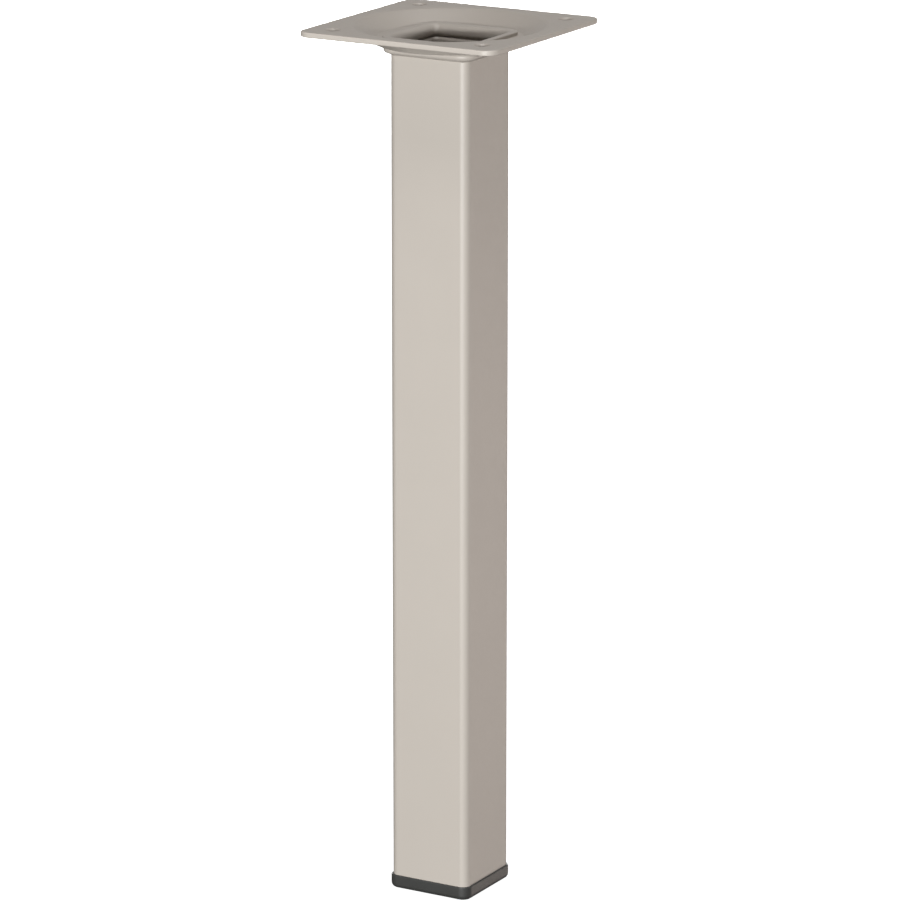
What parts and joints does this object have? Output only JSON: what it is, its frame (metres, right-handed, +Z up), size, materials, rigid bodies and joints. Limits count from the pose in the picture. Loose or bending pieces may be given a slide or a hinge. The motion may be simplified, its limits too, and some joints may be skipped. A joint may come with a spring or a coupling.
{
  "type": "table leg",
  "caption": "Square steel table leg: a tube clamped into a dished square mounting plate with screw holes in its corners, standing on a black plastic floor glide.",
  "frame": {"origin": "on the floor under the middle of the leg, at the centre of the glide's sole", "axes": "+Z up along the tube to the mounting plate, +X and +Y square to two faces of the tube and two edges of the plate"},
  "size_m": [0.062, 0.062, 0.25],
  "materials": {
    "coated_steel": "satin powder coat, warm grey",
    "black_plastic": "moulded, matte"
  },
  "bodies": {
    "root": {"mounting_plate": "coated_steel", "leg_tube": "coated_steel", "floor_glide": "black_plastic"}
  },
  "joints": []
}
